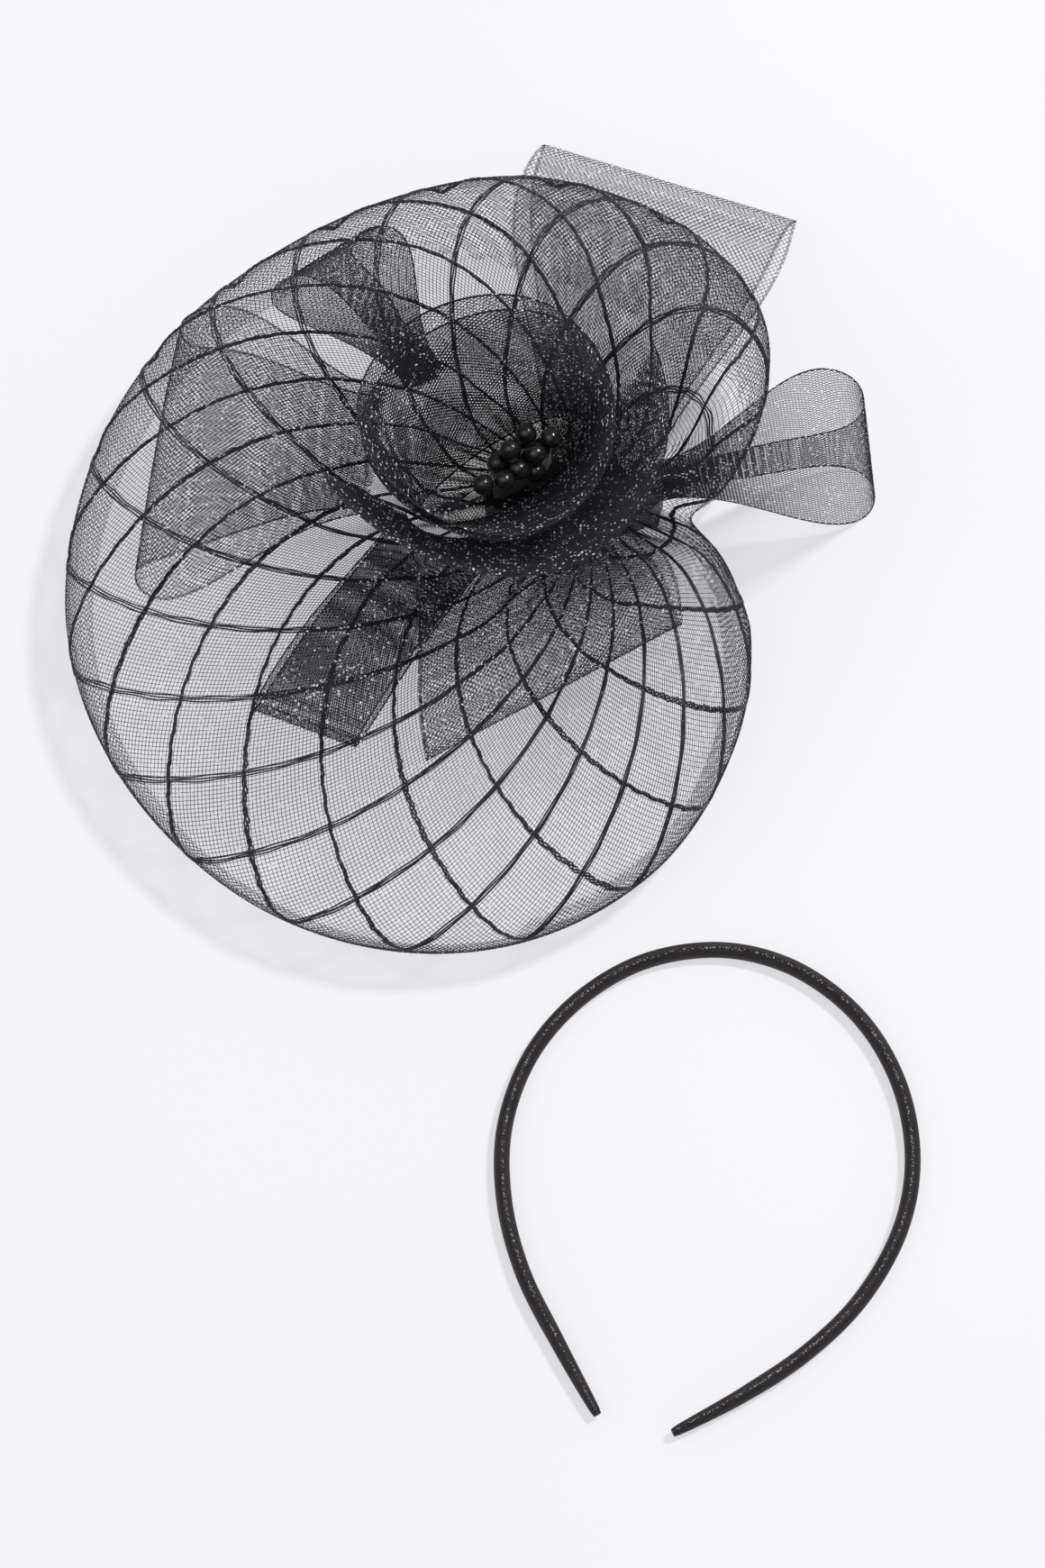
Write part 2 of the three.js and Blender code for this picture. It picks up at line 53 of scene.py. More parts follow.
# Sizes that the solid model has too. CLOTH is the thickness of its walls, GAP the clearance between
# pieces and FACET_SAG how far a flat facet cuts under its curve
MM = 0.001
CLOTH = 1.0 * MM
GAP = 0.3 * MM
FACET_SAG = 0.6 * MM
DISC_REACH = 157 * MM
DISC_PUFF = 40 * MM
DISC_LIFT = 18 * MM
SLIT_LENGTH = 44 * MM
SLIT_WIDTH = 12 * MM
GATHER_HEIGHT = 14.6 * MM
GATHER_DROP = 9 * MM
GATHER_LENGTH = 40 * MM
RIBBON_WIDTH = 80 * MM
BEAD_DIAMETER = 6 * MM
BEAD_HEIGHT = 31 * MM
CLUSTER = (-15 * MM, 3.5 * MM)
BAND_REACH = 60 * MM
BAND_THICKNESS = 4.4 * MM
BAND_HEIGHT = 5.6 * MM
BAND_MIDDLE = (0.23 * DISC_REACH, -0.84 * DISC_REACH - BAND_REACH)

Grid = np.ndarray
Socket = bpy.types.NodeSocket


def smoothstep(value: Grid, low: float, high: float) -> Grid:
    """Eased share of the way from low to high.

    Args:
        value: Numbers to ease.
        low: Value that gives 0.
        high: Value that gives 1.

    Returns:
        Shares from 0 to 1.
    """
    share = np.clip((np.asarray(value, dtype=float) - low) / (high - low), 0.0, 1.0)
    return share * share * (3.0 - 2.0 * share)


def cubic(before: Grid, start: Grid, end: Grid, after: Grid, at: Grid) -> Grid:
    """Smooth value between two neighbouring table values.

    Args:
        before: Value ahead of the start.
        start: Value at share 0.
        end: Value at share 1.
        after: Value past the end.
        at: Share of the way from start to end.

    Returns:
        The values at that share.
    """
    slope_start, slope_end = (end - before) / 2.0, (after - start) / 2.0
    a = 2.0 * start - 2.0 * end + slope_start + slope_end
    b = -3.0 * start + 3.0 * end - 2.0 * slope_start - slope_end
    return ((a * at + b) * at + slope_start) * at + start


class Table:
    """A short table with named columns, read smoothly between its rows."""

    def __init__(self, columns: Sequence[str], rows: Sequence[Sequence[float]]) -> None:
        """Keeps each column as an array.

        Args:
            columns: Names of the columns.
            rows: One tuple of numbers a row.
        """
        values = np.array(rows, dtype=float)
        self.columns = {name: values[:, i] for i, name in enumerate(columns)}
        self.count = len(rows)

    def by_row(self, key: str, place: Grid) -> Grid:
        """Reads a column at places counted in rows.

        Args:
            key: Name of the column.
            place: Places, from 0 to the last row.

        Returns:
            The column's values there.
        """
        values = self.columns[key]
        row = np.clip(np.floor(place).astype(int), 0, self.count - 2)
        near = [values[np.clip(row + step, 0, self.count - 1)] for step in (-1, 0, 1, 2)]
        return cubic(*near, place - row)

    def by_turn(self, key: str, turn: Grid) -> Grid:
        """Reads a column of a table that closes on itself, at turns in degrees.

        Args:
            key: Name of the column.
            turn: Turns in degrees, of any size.

        Returns:
            The column's values there.
        """
        turns, values = self.columns["turn"], self.columns[key]
        at = np.mod(turn, 360.0)
        row = np.searchsorted(turns, at, side="right") - 1
        ends = np.append(turns, 360.0)
        near = [values[(row + step) % self.count] for step in (-1, 0, 1, 2)]
        return cubic(*near, (at - ends[row]) / (ends[row + 1] - ends[row]))


# Rim of the disc: turn in degrees, reach, puff and lift as shares, and the row where the hem ends
OUTLINE = Table(("turn", "reach", "puff", "lift", "hem"), (
    (0, 0.27, 0.6, 0.4, 9.6),
    (20, 0.37, 0.8, 0.8, 9.6),
    (40, 0.46, 0.85, 1.0, 10.4),
    (60, 0.51, 0.9, 1.0, 11.0),
    (80, 0.55, 0.9, 1.0, 11.0),
    (100, 0.6, 0.95, 0.9, 10.6),
    (120, 0.66, 1.0, 0.5, 9.4),
    (140, 0.74, 1.0, 0.1, 8.7),
    (160, 0.83, 1.0, 0.0, 8.6),
    (180, 0.91, 1.0, 0.0, 8.6),
    (200, 0.98, 1.0, 0.0, 8.6),
    (220, 1.0, 1.0, 0.0, 8.6),
    (240, 0.98, 1.0, 0.0, 8.7),
    (260, 0.9, 1.0, 0.0, 8.8),
    (280, 0.76, 1.0, 0.0, 9.0),
    (300, 0.58, 0.95, 0.0, 9.6),
    (320, 0.42, 0.8, 0.0, 10.2),
    (335, 0.3, 0.6, 0.0, 10.2),
    (348, 0.22, 0.45, 0.1, 9.8),
))

# Section of the disc from the slit, over the crest and the rim, to the hem turned under
PROFILE = Table(("out", "up"), (
    (0.0, 0.4),
    (0.1, 0.44),
    (0.28, 0.68),
    (0.5, 0.95),
    (0.7, 0.98),
    (0.88, 0.78),
    (0.98, 0.5),
    (0.98, 0.2),
    (0.95, 0.02),
    (0.9, 0.0),
    (0.8, 0.01),
    (0.66, 0.02),
))

# Rows of PROFILE on the upper side, the row of the rim, and the share of the way out in which the
# lift grows
FRONT_ROWS = 6
RIM_ROW = 6.5
LIFT_ZONE = 0.6

# Small pleats that run out from the gather: waves in a full turn, their height, the share of the way
# out over which they grow, and the shares between which they fade
PLEATS = 31.0
FINE_PLEATS = 47.0
PLEAT_HEIGHT = 0.9 * MM
PLEAT_START = 0.12
PLEAT_FADE = (0.1, 0.72)

# How finely the disc's cloth is measured, round the rim and from the slit to the hem's end, and how
# far short of the last step a place is kept so that it always has a next one
TURN_STEPS = 720
DEPTH_STEPS = 240
STEP_MARGIN = 0.001

# Centre line of the headband: turn in degrees round its middle, reach as a share of BAND_REACH
BAND_LINE = (
    (-98, 1.31), (-83, 1.134), (-65, 1.025), (-45, 0.966), (-23, 0.94), (-2, 0.931),
    (20, 0.932), (42, 0.944), (64, 0.955), (85, 0.954), (107, 0.939), (129, 0.923),
    (151, 0.924), (173, 0.937), (194, 0.963), (214, 1.024), (233, 1.136), (247, 1.321),
)

# Bead places in the cluster, in steps of one bead and its clearance
BEADS = (
    (0.18, 1.03, 0.24), (1.3, 0.92, 0.0), (0.62, 0.13, 0.0), (-0.53, 0.13, 0.47), (-0.04, 0.54, -0.7),
    (-1.13, -0.2, -0.3), (-0.15, -0.5, -0.3), (0.6, -0.32, -0.95), (-0.8, -1.2, 0.0), (-1.76, -1.5, 0.2),
)


def oval_reach(long: float, wide: float, angle: Grid) -> Grid:
    """Distance from the middle of an oval to its edge at an angle in radians."""
    return long * wide / np.hypot(wide * np.cos(angle), long * np.sin(angle))


def walk(line: Grid) -> Grid:
    """Distance along a line from its first point to each of its points."""
    return np.append(0.0, np.cumsum(np.linalg.norm(np.diff(line, axis=0), axis=1)))


# Sockets of a Mix node set to colours, and the range that most of a noise texture's values lie in
MIX_SHARE = 0
MIX_START = 6
MIX_END = 7
MIX_COLOUR = 2
NOISE_LOW = 0.3
NOISE_HIGH = 0.7


class Material:
    """A node material under construction."""

    spot_edge: float = 0.06

    def __init__(self, name: str) -> None:
        """Starts an empty material with a principled shader.

        Args:
            name: Name of the material.
        """
        self.material = bpy.data.materials.new(name)
        self.material.use_nodes = True
        self.tree = self.material.node_tree
        self.shader = self.tree.nodes["Principled BSDF"]

    def add(self, kind: str, settings: dict | None = None, **inputs: object) -> bpy.types.Node:
        """Adds a node.

        Args:
            kind: Blender's name of the node type.
            settings: Values of the node's own properties.
            inputs: Values of, or links into, its sockets, with _ for a space.

        Returns:
            The node.
        """
        node = self.tree.nodes.new(kind)
        for key, value in (settings or {}).items():
            setattr(node, key, value)
        for key, value in inputs.items():
            self.put(node.inputs[key.replace("_", " ")], value)
        return node

    def put(self, socket: Socket, value: object) -> None:
        """Sets a socket's value, or links another socket into it.

        Args:
            socket: Socket to set.
            value: Its value, or the socket to link into it.
        """
        if isinstance(value, Socket):
            self.tree.links.new(value, socket)
        else:
            socket.default_value = value

    def coordinates(self, source: str, scale: Sequence[float] = (1, 1, 1)) -> Socket:
        """Gives scaled texture coordinates.

        Args:
            source: Output of Texture Coordinate, such as Object or UV.
            scale: Scale along each axis.

        Returns:
            The vector socket.
        """
        place = self.add("ShaderNodeTexCoord")
        mapping = self.add("ShaderNodeMapping", Vector=place.outputs[source], Scale=tuple(scale))
        return mapping.outputs["Vector"]

    def noise(self, vector: Socket, scale: float, detail: float = 2.0) -> Socket:
        """Adds a noise texture and gives its value.

        Args:
            vector: Coordinates.
            scale: Cells in a unit of the coordinates.
            detail: Octaves of finer noise.

        Returns:
            The value socket.
        """
        node = self.add("ShaderNodeTexNoise", Vector=vector, Scale=scale, Detail=detail)
        return node.outputs["Fac"]

    def ramp(self, value: Socket, stops: Sequence[tuple]) -> Socket:
        """Colours a value.

        Args:
            value: Socket from 0 to 1.
            stops: Pairs of a place and an RGB colour.

        Returns:
            The colour socket.
        """
        node = self.add("ShaderNodeValToRGB", Fac=value)
        elements = node.color_ramp.elements
        while len(elements) < len(stops):
            elements.new(0.5)
        for element, (place, colour) in zip(elements, stops):
            element.position = place
            element.color = (*colour, 1.0)
        return node.outputs["Color"]

    def spread(self, value: Socket, low: float, high: float) -> Socket:
        """Maps the middle of a noise value onto a range.

        Args:
            value: Socket of the noise.
            low: Result at its low end.
            high: Result at its high end.

        Returns:
            The value socket.
        """
        node = self.add(
            "ShaderNodeMapRange", Value=value, From_Min=NOISE_LOW, From_Max=NOISE_HIGH, To_Min=low,
            To_Max=high,
        )
        return node.outputs["Result"]

    def math(self, operation: str, first: object, second: object = 0.0) -> Socket:
        """Adds a math node and gives its value.

        Args:
            operation: Blender's name of the operation.
            first: A number or a socket.
            second: A number or a socket.

        Returns:
            The value socket.
        """
        node = self.add("ShaderNodeMath", {"operation": operation})
        self.put(node.inputs[0], first)
        self.put(node.inputs[1], second)
        return node.outputs[0]

    def mix(self, share: Socket, start: Socket, end: Sequence[float]) -> Socket:
        """Mixes from a linked colour to a fixed one.

        Args:
            share: Socket from 0 to 1.
            start: Colour socket at share 0.
            end: RGB colour at share 1.

        Returns:
            The colour socket.
        """
        node = self.add("ShaderNodeMix", {"data_type": "RGBA"})
        self.put(node.inputs[MIX_SHARE], share)
        self.put(node.inputs[MIX_START], start)
        self.put(node.inputs[MIX_END], (*end, 1.0))
        return node.outputs[MIX_COLOUR]

    def spots(self, vector: Socket, cell: float, reach: float, share: object) -> Socket:
        """Scatters small round spots.

        Args:
            vector: Coordinates in metres.
            cell: Size of the cells that may each hold a spot.
            reach: Radius of a spot as a share of its cell.
            share: Share of the cells that hold one, a number or a socket.

        Returns:
            The value socket, 1 on a spot and 0 elsewhere.
        """
        cells = self.add("ShaderNodeTexVoronoi", Vector=vector, Scale=1.0 / cell)
        near = self.add(
            "ShaderNodeMapRange", Value=cells.outputs["Distance"], From_Min=reach,
            From_Max=reach + self.spot_edge, To_Min=1.0, To_Max=0.0,
        )
        chance = self.add("ShaderNodeSeparateXYZ", Vector=cells.outputs["Color"])
        chosen = self.math("LESS_THAN", chance.outputs["X"], share)
        return self.math("MULTIPLY", near.outputs["Result"], chosen)

    def bump(self, height: Socket, strength: float, distance: float) -> None:
        """Adds a bump to the shader's normal.

        Args:
            height: Socket of the height.
            strength: Strength from 0 to 1.
            distance: Depth of the bump, in metres.
        """
        node = self.add("ShaderNodeBump", Height=height, Strength=strength, Distance=distance)
        self.put(self.shader.inputs["Normal"], node.outputs["Normal"])

    def dress(self, **inputs: object) -> bpy.types.Material:
        """Sets or links the shader's sockets and gives the material.

        Args:
            inputs: Values of, or links into, its sockets, with _ for a space.

        Returns:
            The material.
        """
        for key, value in inputs.items():
            self.put(self.shader.inputs[key.replace("_", " ")], value)
        return self.material


@dataclass(frozen=True)
class ThreadFinish:
    """Black crin thread, with painted glints: pale spots in the base colour, a little less rough, that come
    thicker in some patches than in others.

    The dye and the fibre are noise scales, in cells a metre.
    """

    name: str
    black: tuple = (0.004, 0.0039, 0.0062)
    grey: tuple = (0.017, 0.0162, 0.025)
    # colour of the painted glints, highlights painted into the base colour as pale spots
    painted_glint: tuple = (0.5, 0.51, 0.55)
    painted_glint_cell: float = 1.0 * MM
    painted_glint_reach: float = 0.36
    patch_size: float = 9 * MM
    patch_contrast: float = 0.8
    painted_glint_share: float = 0.12
    dye: float = 200.0
    fibre: float = 2400.0
    fibre_depth: float = 0.05 * MM
    roughness: float = 0.5
    painted_glint_roughness: float = 0.3
    specular: float = 0.35

    def material(self) -> bpy.types.Material:
        """Builds the material on object coordinates.

        Returns:
            The material.
        """
        made = Material(self.name)
        place = made.coordinates("Object")
        dyed = made.noise(place, self.dye, 3.0)
        patch = made.noise(place, 1.0 / self.patch_size, 1.0)
        sparse = (1.0 - self.patch_contrast) * self.painted_glint_share
        dense = (1.0 + self.patch_contrast) * self.painted_glint_share
        share = made.spread(patch, sparse, dense)
        # painted glints: spots where the base colour turns pale as if catching the light, and where the
        # thread is a little less rough
        painted_glint_spots = made.spots(place, self.painted_glint_cell, self.painted_glint_reach, share)
        thread = made.ramp(dyed, ((0.3, self.black), (0.72, self.grey)))
        made.bump(made.noise(place, self.fibre, 2.0), 0.3, self.fibre_depth)
        rough = made.add(
            "ShaderNodeMapRange", Value=painted_glint_spots, To_Min=self.roughness, To_Max=self.painted_glint_roughness
        )
        return made.dress(
            Base_Color=made.mix(painted_glint_spots, thread, self.painted_glint), Roughness=rough.outputs["Result"],
            Specular_IOR_Level=self.specular,
        )


@dataclass(frozen=True)
class BeadFinish:
    """Black glass bead with a hard polish and faint cloudiness.

    The cloud, wear and relief are noise scales, in cells a metre.
    """

    name: str = "black_glass"
    black: tuple = (0.003, 0.002, 0.0025)
    clouded: tuple = (0.024, 0.016, 0.018)
    cloud: float = 420.0
    wear: float = 600.0
    relief: float = 900.0

    def material(self) -> bpy.types.Material:
        """Builds the material on object coordinates.

        Returns:
            The material.
        """
        made = Material(self.name)
        place = made.coordinates("Object")
        cloud = made.noise(place, self.cloud, 3.0)
        made.bump(made.noise(place, self.relief, 2.0), 0.12, 0.05 * MM)
        return made.dress(
            Base_Color=made.ramp(cloud, ((0.3, self.black), (0.75, self.clouded))),
            Roughness=made.spread(made.noise(place, self.wear, 2.0), 0.16, 0.34),
            Specular_IOR_Level=0.8,
        )


@dataclass(frozen=True)
class FeltFinish:
    """Matt black felt with short loose fibres.

    The fibre and the clump are noise scales, in cells a metre.
    """

    name: str = "black_felt"
    black: tuple = (0.006, 0.006, 0.007)
    grey: tuple = (0.024, 0.024, 0.027)
    fibre: float = 2600.0
    clump: float = 420.0

    def material(self) -> bpy.types.Material:
        """Builds the material on object coordinates.

        Returns:
            The material.
        """
        made = Material(self.name)
        fibre = made.noise(made.coordinates("Object", (1, 1, 1.6)), self.fibre, 6.0)
        clump = made.noise(made.coordinates("Object"), self.clump, 4.0)
        made.bump(fibre, 0.7, 0.25 * MM)
        return made.dress(
            Base_Color=made.ramp(clump, ((0.3, self.black), (0.75, self.grey))),
            Roughness=made.spread(fibre, 0.8, 0.97),
            Sheen_Weight=0.35,
            Sheen_Roughness=0.5,
        )


@dataclass(frozen=True)
class SatinFinish:
    """Black brown satin wound round the headband, with fine ribs and a raised seam near its top that
    carries painted highlight sparkles.

    The seam's place is measured round the band. The ribs, grain and wear are scales in waves or cells
    a metre.
    """

    name: str = "black_satin"
    black: tuple = (0.004, 0.0026, 0.0034)
    brown: tuple = (0.018, 0.0105, 0.0135)
    # colour of the painted highlight sparkles along the seam
    painted_sparkle: tuple = (0.36, 0.31, 0.34)
    ribs: float = 1500.0
    grain: float = 4200.0
    wear: float = 500.0
    seam: float = 3.7 * MM
    seam_width: float = 0.8 * MM
    painted_sparkle_cell: float = 0.45 * MM
    painted_sparkle_reach: float = 0.36
    painted_sparkle_share: float = 0.45

    def material(self) -> bpy.types.Material:
        """Builds the material on the band's own map, u along it and v round it, in metres.

        Returns:
            The material.
        """
        made = Material(self.name)
        place = made.coordinates("UV")
        ribs = made.add(
            "ShaderNodeTexWave", {"bands_direction": "DIAGONAL"}, Vector=place, Scale=self.ribs,
            Distortion=1.5, Detail=1.0, Detail_Scale=2.0,
        )
        grain = made.noise(made.coordinates("UV", (0.35, 1, 1)), self.grain, 4.0)
        worn = made.noise(made.coordinates("UV", (0.2, 1, 1)), self.wear, 3.0)
        across = made.add("ShaderNodeSeparateXYZ", Vector=place).outputs["Y"]
        off = made.math("ABSOLUTE", made.math("SUBTRACT", across, self.seam))
        seam = made.math("LESS_THAN", off, self.seam_width / 2)
        # painted highlight: pale sparkles in the base colour along the seam near the band's top
        painted_sparkle_spots = made.spots(place, self.painted_sparkle_cell, self.painted_sparkle_reach, self.painted_sparkle_share)
        painted_sparkle = made.math("MULTIPLY", seam, painted_sparkle_spots)
        satin = made.ramp(worn, ((0.3, self.black), (0.75, self.brown)))
        relief = made.math("ADD", ribs.outputs["Fac"], seam)
        made.bump(relief, 0.4, 0.2 * MM)
        return made.dress(
            Base_Color=made.mix(painted_sparkle, satin, self.painted_sparkle),
            Roughness=made.spread(grain, 0.36, 0.66),
            Specular_IOR_Level=0.3,
        )


@dataclass(frozen=True)
class FloorFinish:
    """Plain pale floor with an even glow of its own, as in a light tent."""

    name: str = "pale_floor"
    shade: tuple = (0.25, 0.25, 0.255)
    light: tuple = (0.265, 0.265, 0.27)
    glow_colour: tuple = (0.975, 0.965, 1.0, 1.0)
    glow: float = 0.6

    def material(self) -> bpy.types.Material:
        """Builds the material on object coordinates.

        Returns:
            The material.
        """
        made = Material(self.name)
        tint = made.noise(made.coordinates("Object"), 3.0, 2.0)
        return made.dress(
            Base_Color=made.ramp(tint, ((0.3, self.shade), (0.7, self.light))),
            Roughness=0.7,
            Specular_IOR_Level=0.2,
            Emission_Color=self.glow_colour,
            Emission_Strength=self.glow,
        )


def add_piece(name: str, mesh: bpy.types.Mesh, material: bpy.types.Material) -> bpy.types.Object:
    """Dresses a finished mesh and adds it as a piece that rides on the root.

    Args:
        name: Name of the piece.
        mesh: Its mesh, in place.
        material: Its material.

    Returns:
        The object.
    """
    mesh.materials.clear()
    mesh.materials.append(material)
    piece = bpy.data.objects.new(name, mesh)
    bpy.context.scene.collection.objects.link(piece)
    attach(piece, "root")
    return piece


@dataclass
class ThreadBundle:
    """Many thin threads of one gauge that become one mesh."""

    name: str
    radius: float
    sides: int = 3
    runs: list[Grid] = field(default_factory=list)

    def extend(self, runs: Iterable[Grid]) -> None:
        """Takes in more threads, each an array of points."""
        self.runs.extend(run for run in runs if len(run) > 1)

    def build(self, material: bpy.types.Material, slot: str) -> bpy.types.Object:
        """Sweeps every thread and joins them in one mesh that rides on the root.

        Args:
            material: Material of the threads.
            slot: Not used.

        Returns:
            The mesh object.
        """
        section = self.draw_section()
        path = self.draw_path(section)
        for helper in (path, section):
            bpy.context.scene.collection.objects.link(helper)
        depsgraph = bpy.context.evaluated_depsgraph_get()
        mesh = bpy.data.meshes.new_from_object(path.evaluated_get(depsgraph))
        mesh.name = self.name
        for helper in (path, section):
            bpy.data.objects.remove(helper)
        log.info("%s: %d threads", self.name, len(self.runs))
        return add_piece(self.name, mesh, material)

    def draw_section(self) -> bpy.types.Object:
        """Draws the ring that is swept along the threads.

        Returns:
            The curve object.
        """
        section = bpy.data.curves.new(self.name + "_section", "CURVE")
        ring = section.splines.new("POLY")
        ring.points.add(self.sides - 1)
        ring.use_cyclic_u = True
        for i, point in enumerate(ring.points):
            angle = -2.0 * math.pi * i / self.sides
            point.co = (self.radius * math.cos(angle), self.radius * math.sin(angle), 0.0, 1.0)
        return bpy.data.objects.new(self.name + "_section", section)

    def draw_path(self, section: bpy.types.Object) -> bpy.types.Object:
        """Draws every thread in one curve.

        Args:
            section: The ring that is swept along them.

        Returns:
            The curve object.
        """
        curve = bpy.data.curves.new(self.name + "_path", "CURVE")
        curve.dimensions = "3D"
        curve.bevel_mode = "OBJECT"
        curve.bevel_object = section
        for run in self.runs:
            spline = curve.splines.new("POLY")
            spline.points.add(len(run) - 1)
            spline.points.foreach_set("co", np.column_stack([run, np.ones(len(run))]).ravel())
            spline.use_smooth = True
        return bpy.data.objects.new(self.name + "_path", curve)


class DiscSurface:
    """The puffed disc's cloth, by turn and row, and by its own flat cut."""

    def __init__(self) -> None:
        """Measures the rim and every section once."""
        self.turns = np.linspace(0.0, 360.0, TURN_STEPS + 1)
        self.rim_along = walk(self.point(self.turns, np.full_like(self.turns, RIM_ROW)))
        self.rim_length = float(self.rim_along[-1])
        shares = np.linspace(0.0, 1.0, DEPTH_STEPS + 1)
        hem = OUTLINE.by_turn("hem", self.turns)
        places = hem[:, None] * shares[None, :]
        points = self.point(np.broadcast_to(self.turns[:, None], places.shape), places)
        walked = np.array([walk(section) for section in points])
        self.depth = walked[:, -1]
        self.rim_depth = np.array([np.interp(RIM_ROW, p, w) for p, w in zip(places, walked)])
        self.place_table = np.array(
            [np.interp(shares * w[-1], w, p) for p, w in zip(places, walked)]
        )

    def point(self, turn: Grid, place: Grid, pleated: bool = True) -> Grid:
        """Points of the cloth.

        Args:
            turn: Turns in degrees round the gather.
            place: Places counted in rows of PROFILE.
            pleated: Whether the gather's small pleats are added.

        Returns:
            Points, with x, y and z on a last axis.
        """
        angle = np.radians(turn)
        inner = oval_reach(SLIT_LENGTH / 2, SLIT_WIDTH / 2, angle)
        out = PROFILE.by_row("out", place)
        up = np.maximum(PROFILE.by_row("up", place), 0.0)
        run = DISC_REACH * OUTLINE.by_turn("reach", turn) - inner
        grown = smoothstep(out * run, 0.0, GATHER_LENGTH)
        lift = DISC_LIFT * OUTLINE.by_turn("lift", turn) * smoothstep(out, 0.0, LIFT_ZONE)
        under = np.clip((place - FRONT_ROWS) / (PROFILE.count - 1 - FRONT_ROWS), 0.0, 1.0)
        gathered = GATHER_HEIGHT - GATHER_DROP * under
        puffed = (CLOTH + GAP) / 2 + up * DISC_PUFF * OUTLINE.by_turn("puff", turn) + lift
        height = gathered + (puffed - gathered) * grown
        if pleated:
            height = height + self.pleats(turn, out, place)
        reach = inner + out * run
        return np.stack([reach * np.cos(angle), reach * np.sin(angle), height], axis=-1)

    @staticmethod
    def pleats(turn: Grid, out: Grid, place: Grid) -> Grid:
        """Height of the small pleats that run out from the gather.

        Args:
            turn: Turns in degrees round the gather.
            out: Shares of the way out to the rim.
            place: Places counted in rows of PROFILE.

        Returns:
            Heights over the smooth cloth.
        """
        fade = (1.0 - smoothstep(out, *PLEAT_FADE)) * smoothstep(out, 0.0, PLEAT_START)
        front = 1.0 - smoothstep(place, FRONT_ROWS - 1.0, FRONT_ROWS)
        angle = np.radians(turn)
        wave = np.sin(PLEATS * angle + 1.3 * np.sin(3.0 * angle))
        wave = wave + 0.6 * np.sin(FINE_PLEATS * angle + 0.7)
        return PLEAT_HEIGHT * wave * fade * front

    def along_rim(self, turn: float) -> float:
        """Place along the rim of a turn in degrees."""
        return float(np.interp(np.mod(turn, 360.0), self.turns, self.rim_along))

    def cloth(self, along: Grid, inward: Grid) -> tuple[Grid, Grid]:
        """Points of the cloth by its flat cut.

        Args:
            along: Places along the rim, in metres.
            inward: Distance from the rim towards the slit, negative into the hem.

        Returns:
            Points, and whether each is on the cloth.
        """
        turn = np.interp(np.mod(along, self.rim_length), self.rim_along, self.turns)
        share = (np.interp(turn, self.turns, self.rim_depth) - inward) / np.interp(
            turn, self.turns, self.depth
        )
        inside = (share >= 0.0) & (share <= 1.0)
        row = np.clip(turn * TURN_STEPS / 360.0, 0.0, TURN_STEPS - STEP_MARGIN)
        column = np.clip(share, 0.0, 1.0) * (DEPTH_STEPS - STEP_MARGIN)
        low_row, low_column = row.astype(int), column.astype(int)
        at_row, at_column = row - low_row, column - low_column
        table = self.place_table
        near = table[low_row, low_column] * (1 - at_column) + table[low_row, low_column + 1] * at_column
        far = (
            table[low_row + 1, low_column] * (1 - at_column)
            + table[low_row + 1, low_column + 1] * at_column
        )
        return self.point(turn, near * (1 - at_row) + far * at_row), inside

    def ground(self, x: Grid, y: Grid) -> Grid:
        """Height of the disc's upper side, or of the floor beyond it, under points.

        Args:
            x: Places along the x axis.
            y: Places along the y axis.

        Returns:
            The heights.
        """
        angle = np.arctan2(y, x)
        turn = np.degrees(angle)
        inner = oval_reach(SLIT_LENGTH / 2, SLIT_WIDTH / 2, angle)
        out = (np.hypot(x, y) - inner) / (DISC_REACH * OUTLINE.by_turn("reach", turn) - inner)
        places = np.linspace(0.0, FRONT_ROWS, 100 * FRONT_ROWS + 1)
        outs = PROFILE.by_row("out", places)
        place = np.interp(np.clip(out, 0.0, outs[-1]), outs, places)
        height = self.point(turn, place, pleated=False)[..., 2] + CLOTH / 2
        return np.where(out >= outs[-1], 0.0, height)


class CordKind(Enum):
    """How the threads of a windowpane cord lie."""

    LADDER = "three straight threads side by side"
    PLIED = "three loosely plied threads"


@dataclass(frozen=True)
class CordFamily:
    """The cords that lean one way: slope 1 or -1, and how their strands lie."""

    kind: CordKind
    slope: float
    step: float
    gauge: float
    apart: float = 0.0

    @property
    def piece(self) -> str:
        """Name of the family's piece."""
        return f"disc_{self.kind.name.lower()}_cords"

    def sway(self, strand: int) -> Callable:
        """Offsets of one strand.

        Args:
            strand: -1, 0 or 1.

        Returns:
            A function of cord number and distance that gives side and rise.
        """
        def ladder(cord: Grid, along: Grid) -> tuple[Grid, Grid]:
            """Slight drift of a straight thread.

            Args:
                cord: Number of the cord.
                along: Distance along it.

            Returns:
                Offsets to the side and up.
            """
            side = 0.12 * MM * np.sin(along / (3 * MM) + 1.7 * cord + 2.1 * strand)
            side = side + 0.12 * MM * np.sin(along / (2.1 * MM) + 2.9 * cord)
            return side, 0.0 * side

        def plied(cord: Grid, along: Grid) -> tuple[Grid, Grid]:
            """Twist of a loosely plied thread, tighter here and looser there.

            Args:
                cord: Number of the cord.
                along: Distance along it.

            Returns:
                Offsets to the side and up.
            """
            phase = 2.0 * math.pi * (along / (7.5 * MM) + strand / 3.0)
            phase = phase + 1.5 * np.sin(along / (11 * MM) + 1.9 * cord)
            loose = 0.5 + 0.16 * np.sin(along / (19 * MM) + 2.3 * cord)
            wander = 0.18 * MM * np.sin(along / (1.3 * MM) + 1.1 * cord)
            return loose * MM * np.sin(phase) + wander, 0.3 * MM * np.cos(phase)

        return plied if self.kind is CordKind.PLIED else ladder


